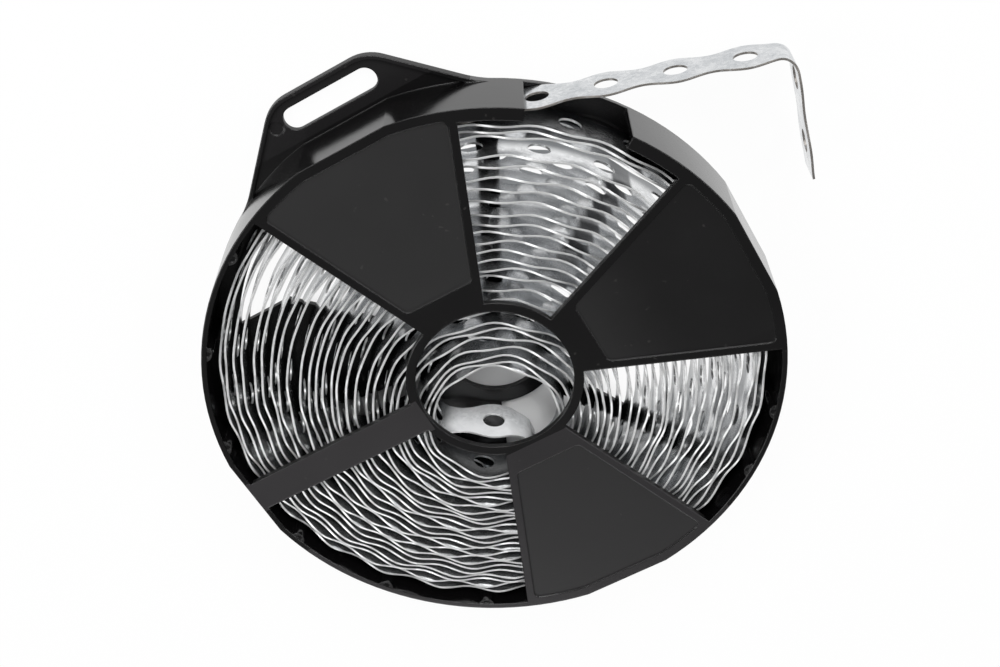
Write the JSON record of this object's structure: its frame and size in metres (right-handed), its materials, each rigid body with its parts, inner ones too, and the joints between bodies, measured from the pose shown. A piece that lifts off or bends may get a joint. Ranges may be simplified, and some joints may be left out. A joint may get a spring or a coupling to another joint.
{
  "type": "perforated steel band coil in a cassette",
  "caption": "Wavy-edged galvanised perforated steel band wound in a black moulded cassette with hub, windows and slotted handle; the free end leaves through a gap in the rim",
  "frame": {"origin": "on the axis of the coil, in the plane of the back on which the cassette lies", "axes": "+Z along the coil's axis, out of the front; +Y to the handle; +X to the side where the free end points"},
  "size_m": [0.2118, 0.1932, 0.023],
  "materials": {
    "black_plastic": "black moulded plastic, satin borders and fine textured label fields",
    "galvanised_steel": "galvanised cold-rolled steel with a fine spangle and bright cut edges"
  },
  "bodies": {
    "root": {"cassette": "black_plastic", "steel_band": "galvanised_steel"}
  },
  "joints": []
}
